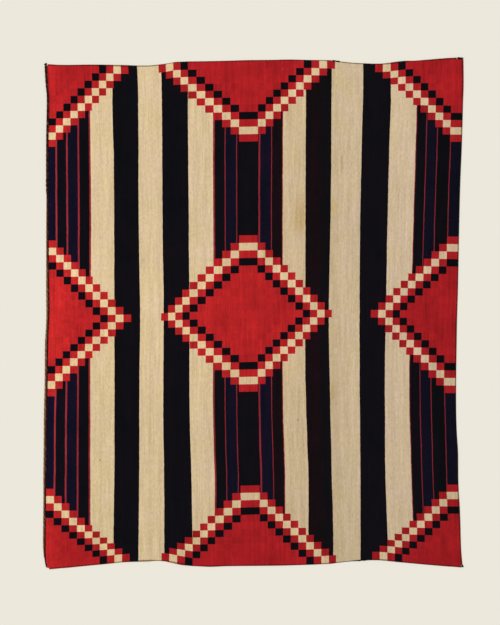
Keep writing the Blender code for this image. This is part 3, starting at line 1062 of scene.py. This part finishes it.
# Columns: name, CAD node, material slot, edge, radii, beads, crest every, ring every, sides
EDGE_CORDS = (
    ("left_cord_dark", "end_cord_dark", "dark_wool_cord", "left", DARK_RADIUS, LEFT_BEADS, 17.0, 1.7, 12),
    ("left_cord_golden", "end_cord_tan", "tan_wool_cord", "left", GOLDEN_RADIUS, (), 17.0, 1.7, 12),
    ("right_cord_red", "end_cord_right", "red_wool_cord", "right", RIGHT_RADIUS, (), 6.0, 1.2, 8),
    ("top_cord_left", "side_cord_top_left", "dark_wool_cord", "top", TOP_LEFT_RADIUS, (), 6.0, 1.2, 8),
    ("top_cord_right", "side_cord_top_right", "dark_wool_cord", "top", TOP_RIGHT_RADIUS, (), 6.0, 1.2, 8),
    ("top_cord_end", "cord_tail_top", "dark_wool_cord", "top", TOP_END_RADIUS, (), 6.0, 0.6, 12),
    ("bottom_cord", "side_cord_bottom", "dark_wool_cord", "bottom", BOTTOM_RADIUS, BOTTOM_BEADS, 6.0, 1.2, 8),
)
print(len(EDGE_CORDS), "cords")

# %% Lay the cords along the edges


def bead_swell(beads, places):
    """How much wider the beads make the cord at each place."""
    swell = np.zeros(len(places))
    for at, size in beads:
        swell += size * np.exp(-(((places - at) / BEAD_REACH) ** 2))
    return swell


def loom_places(edge, places):
    """Where an edge cord's places lie on the loom map: the wefts beside it give it their colour."""
    if edge in ("left", "right"):
        end = 0 if edge == "left" else -1
        rows = np.interp(places, y[end], loom_rows) * BLOCK
        return np.full(len(places), columns[end]), rows
    row = 0 if edge == "bottom" else -1
    return np.interp(places, x[:, row], columns), np.full(len(places), loom_rows[row] * BLOCK * INSIDE)


def lay_cord(name, edge, radii, beads, crest_every, ring_every, sides):
    """One cord along an edge of the sheet, resting on the floor."""
    start, stop = radii[0][0], radii[-1][0]
    places = np.linspace(start, stop, round((stop - start) / ring_every) + 1)
    outward = 1 if edge in ("right", "top") else -1
    swell = bead_swell(beads, places)
    radius = smooth_through(radii, places) + swell / 2
    to_end = np.minimum(places - start, stop - places) / (ROUNDED_END * radius)
    rounding = np.sqrt(1 - (1 - np.clip(to_end, 0.02, 1)) ** 2)
    from_rim = OVER_RIM * radius
    phase = (math.pi * places / crest_every)[:, None]
    if name == "left_cord_golden":
        dark = smooth_through(DARK_RADIUS, places) + bead_swell(LEFT_BEADS, places) / 2
        from_rim = OVER_RIM * dark + INTERLOCKED * (dark + radius)
        phase = phase + math.pi / 2
    middle = np.interp(places, *EDGE_LINES[edge]) + outward * from_rim
    turn = np.arange(sides + 1) / sides
    angle = math.tau * (turn - 0.25)[None, :]
    reach = radius[:, None] * rounding[:, None] * ply_reach(angle, phase, GROOVE)
    across = middle[:, None] + reach * np.cos(angle)
    up = FLATTENED * (radius[:, None] + reach * np.sin(angle))
    along = np.broadcast_to(places[:, None], across.shape)
    order = (across, along, up) if edge in ("left", "right") else (along, across, up)
    loom = tuple(np.broadcast_to(place[:, None] * MM, up.shape) for place in loom_places(edge, places))
    maps = {STRAND_MAP: ((angle - phase) / math.tau, along * MM), LOOM_MAP: loom}
    strips = max(1, round(math.sqrt((stop - start) / (math.tau * radius.mean()))))
    return make_tube(name, np.stack(order, -1)[:, :-1], maps, strips)


cords = {}
for name, cad_node, slot_name, *how_it_lies in EDGE_CORDS:
    cord = lay_cord(name, *how_it_lies)
    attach(cord, "root")
    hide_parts(cad_node)
    cords[name] = cord
print("triangles", {name: 2 * len(cord.data.polygons) for name, cord in cords.items()})

# %% [markdown]
# ## Knots at the corners
#
# At three corners the cords are tied off, and each knot touches a cord that ends there. The simplest
# knot that holds is the overhand knot. Its path is a closed curve that winds three times round its
# middle while it rises and falls three times, known as a trefoil. A cord drawn along it and pulled
# tight makes the small lumpy knots of the corners. The one at the top right is drawn out long, because
# both cords are tied along the edge there.

# %% Tie three knots
# Columns: name, CAD node, x, y, half sizes along x, y and z, thickness of the cord, turn in degrees
KNOTS = (
    ("knot_top_left", "corner_knot_top_left", -716.4, 857.2, 5.8, 5.8, 3.8, 2.6, 20.0),
    ("knot_top_right", "corner_knot_top_right", 711.5, 879.2, 13.0, 3.9, 3.1, 2.1, 90.0),
    ("knot_bottom_right", "corner_knot_bottom_right", 721.0, -872.6, 4.2, 5.0, 3.4, 2.2, 50.0),
)
KNOT_RINGS = 120
KNOT_SIDES = 8
LOOP_WIDTH = 1.6
KNOT_STRIPS = 3


def tie_knot(name, middle_x, middle_y, half_x, half_y, half_z, thickness, turn):
    """An overhand knot, drawn tight and resting on the floor."""
    t = np.linspace(0, math.tau, KNOT_RINGS + 1)
    path_x, path_y = np.sin(t) + LOOP_WIDTH * np.sin(2 * t), np.cos(t) - LOOP_WIDTH * np.cos(2 * t)
    path = np.stack([path_x, path_y, -np.sin(3 * t)], 1)
    cosine, sine = math.cos(math.radians(turn)), math.sin(math.radians(turn))
    path[:, :2] = path[:, :2] @ np.array([[cosine, sine], [-sine, cosine]])
    room = np.array([half_x, half_y, half_z]) - thickness
    path *= room / np.abs(path).max(0)
    ahead = np.roll(path[:-1], -1, 0) - np.roll(path[:-1], 1, 0)
    ahead = np.concatenate([ahead, ahead[:1]])
    ahead /= np.linalg.norm(ahead, axis=1)[:, None]
    aside = np.cross(ahead, (0.0, 0.0, 1.0))
    aside /= np.linalg.norm(aside, axis=1)[:, None]
    above = np.cross(aside, ahead)
    turns = np.arange(KNOT_SIDES + 1) / KNOT_SIDES
    angle = math.tau * turns[None, :, None]
    phase = (3 * t)[:, None, None]
    reach = thickness * ply_reach(angle, phase, GROOVE)
    rings = path[:, None] + reach * (np.cos(angle) * aside[:, None] + np.sin(angle) * above[:, None])
    rings += (middle_x, middle_y, half_z)
    around = ((angle - phase) / math.tau)[..., 0]
    along = np.broadcast_to((t * thickness * 2 * MM)[:, None], around.shape)
    rings = rings[:, :-1]
    rings[-1] += (rings[-2] - rings[-1]) * 0.5
    return make_tube(name, rings, {STRAND_MAP: (around, along)}, KNOT_STRIPS)


for name, cad_node, *sizes in KNOTS:
    knot = tie_knot(name, *sizes)
    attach(knot, "root")
    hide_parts(cad_node)
    cords[name] = knot
    print(name, "is", [round(d * 1000, 1) for d in knot.dimensions], "mm")

# %% [markdown]
# ## Twisted wool
#
# Every cord shares one effect. It paints shade into the groove between the plies, and lays fine fibres
# along each ply. The strand map's first number counts turns, so its cosine is 1 or -1 on a crest and 0
# in a groove.

# %% A group for twisted wool
FIBRE_SLANT = 90.0

twist_group, given, result = new_group(
    "Twisted wool",
    (("Vector", "Vector"), ("Groove Shade", "Float")),
    (("Tint", "Float"), ("Height", "Float"), ("Ply", "Float")),
)
parts = add_node(twist_group, "SeparateXYZ", {0: given["Vector"]}).outputs
wave = sum_node(twist_group, "COSINE", sum_node(twist_group, "MULTIPLY", parts["X"], math.tau))
crest = sum_node(twist_group, "ABSOLUTE", wave)
slanted = sum_node(twist_group, "MULTIPLY_ADD", parts["Y"], FIBRE_SLANT, parts["X"])
fibre_place = add_node(twist_group, "CombineXYZ", {0: slanted, 1: parts["Y"]})
fibres = noise(twist_group, stretched(twist_group, fibre_place.outputs[0], 9.0, 120.0), 1.0, 3.0)
fibre_tint = spread(twist_group, fibres, 0.55, 1.45)
# Painted shade in the groove between the plies: the crest measure raised to a power darkens the groove.
painted_groove_shade = sum_node(twist_group, "POWER", crest, given["Groove Shade"])
twist_group.links.new(sum_node(twist_group, "MULTIPLY", fibre_tint, painted_groove_shade), result["Tint"])
twist_group.links.new(sum_node(twist_group, "MULTIPLY_ADD", fibres, 0.5, crest), result["Height"])
twist_group.links.new(sum_node(twist_group, "GREATER_THAN", wave, 0.0), result["Ply"])
print("group", twist_group.name, "has", len(twist_group.nodes), "nodes")

# %% [markdown]
# ## The colours of the cords
#
# The thick cord is dark maroon wool, with browner patches where it is worn. The golden one is dyed
# yellow-brown. The thin cords lie so close to the last wefts that they show the colours of the stripes
# beside them. So they use the woven pattern through the loom map, times a dark brown tint that paints
# the shade where the wefts turn round the rounded edge.
# Dashes of dark yarn bind the bottom cord below one white stripe.

# %% Dress the cords and knots
MAROON = (0.046, 0.0052, 0.0040)
WORN_BROWN = (0.130, 0.062, 0.036)
GOLDEN = (0.38, 0.190, 0.070)
GOLDEN_DARK = (0.20, 0.085, 0.028)
# Painted shade: this tint darkens the stripe colours where the wefts turn round the rounded edge.
BOUND_SHADE_TINT = (0.44, 0.35, 0.27)
BOUND_BROWN = (0.020, 0.006, 0.003)
NEAR_BLACK = (0.006, 0.0042, 0.0042)

CORD_BUMP = 0.2
MARK_REACH = 8.0

# Columns: place along the bottom edge, half width, colour
BOTTOM_MARKS = (
    (298.0, 18.0, (0.16, 0.13, 0.13)),
    (323.0, 4.4, (0.06, 0.06, 0.07)),
    (334.0, 4.4, (0.06, 0.06, 0.07)),
    (345.4, 4.4, (0.06, 0.06, 0.07)),
    (356.7, 4.4, (0.06, 0.06, 0.07)),
    (364.8, 6.0, (0.06, 0.07, 0.08)),
    (382.0, 6.0, (0.05, 0.05, 0.06)),
)


def dress_cord(name, colour_of, groove_shade, cord_names):
    """A rough wool material with a twist. colour_of(tree, twist) gives its colour before the twist."""
    material, tree, shader = new_material(
        name, Specular_IOR_Level=WOOL_SHINE, Sheen_Weight=WOOL_SHEEN, Sheen_Roughness=0.5
    )
    strand = add_node(tree, "UVMap", uv_map=STRAND_MAP).outputs["UV"]
    twist = place_group(tree, twist_group, Vector=strand, Groove_Shade=groove_shade)
    tint = add_node(tree, "CombineColor", {0: twist["Tint"], 1: twist["Tint"], 2: twist["Tint"]}).outputs[0]
    colour = colour_mix(tree, "MULTIPLY", 1.0, colour_of(tree, twist), tint)
    tree.links.new(colour, shader.inputs["Base Color"])
    tree.links.new(spread(tree, twist["Height"], 1.0, 0.88), shader.inputs["Roughness"])
    bump = add_node(tree, "Bump", {"Height": twist["Height"], "Distance": CORD_BUMP * MM, "Strength": 0.6})
    tree.links.new(bump.outputs["Normal"], shader.inputs["Normal"])
    for cord_name in cord_names:
        cords[cord_name].data.materials.append(material)


def patches(tree, scale, detail, low, high):
    """A mask of worn patches, from noise that is cut off below low and is full from high on."""
    where = add_node(tree, "TexCoord").outputs["Object"]
    inputs = {"Value": noise(tree, where, scale, detail), "From Min": low, "From Max": high}
    return add_node(tree, "MapRange", inputs).outputs["Result"]


def worn_maroon(tree, twist):
    """Dark maroon, worn to brown in patches and most of all on one ply."""
    worn = patches(tree, 55.0, 3.0, 0.44, 0.7)
    worn = sum_node(tree, "MULTIPLY", worn, spread(tree, twist["Ply"], 0.25, 1.0))
    return colour_mix(tree, "MIX", worn, (*MAROON, 1.0), (*WORN_BROWN, 1.0))


def two_golds(tree, twist):
    """A golden ply and a browner one, each a little uneven."""
    patchy = patches(tree, 25.0, 3.0, 0.0, 1.0)
    share = sum_node(tree, "MULTIPLY", patchy, spread(tree, twist["Ply"], 0.4, 1.4))
    return colour_mix(tree, "MIX", share, (*GOLDEN, 1.0), (*GOLDEN_DARK, 1.0))


def dark_yarn(tree, twist):
    """Nearly black yarn with a few worn specks."""
    worn = patches(tree, 300.0, 2.0, 0.60, 0.80)
    return colour_mix(tree, "MIX", worn, (*NEAR_BLACK, 1.0), (*WORN_BROWN, 1.0))


def bound_wefts(tree, twist):
    """The colours of the wefts beside the cord, browner, darkened with painted shade, and with the marks on
    the bottom cord.
    """
    loom = loom_vector(tree)
    colour = place_group(tree, pattern_group, Vector=loom)["Color"]
    # Painted shade over the colours of the wefts at the edge
    colour = colour_mix(tree, "MULTIPLY", 1.0, colour, (*BOUND_SHADE_TINT, 1.0))
    colour = colour_mix(tree, "ADD", 1.0, colour, (*BOUND_BROWN, 1.0))
    for mark_x, half_width, mark_colour in BOTTOM_MARKS:
        centre, size = (mark_x * MM, -HALF_ROWS * BLOCK * MM, 0.0), (half_width * MM, MARK_REACH * MM, 1.0)
        mask = place_group(tree, mark_group, Vector=loom, Centre=centre, Size=size)["Mask"]
        colour = colour_mix(tree, "MULTIPLY", mask, colour, (*mark_colour, 1.0))
    return colour


dress_cord("maroon_cord", worn_maroon, 0.5, ["left_cord_dark"])
dress_cord("golden_cord", two_golds, 0.5, ["left_cord_golden"])
dress_cord("knotted_yarn", dark_yarn, 0.5, ["top_cord_end", *[knot[0] for knot in KNOTS]])
thin_cords = ["right_cord_red", "top_cord_left", "top_cord_right", "bottom_cord"]
dress_cord("bound_edge", bound_wefts, 0.25, thin_cords)
print("dressed", len(cords), "cords and knots")
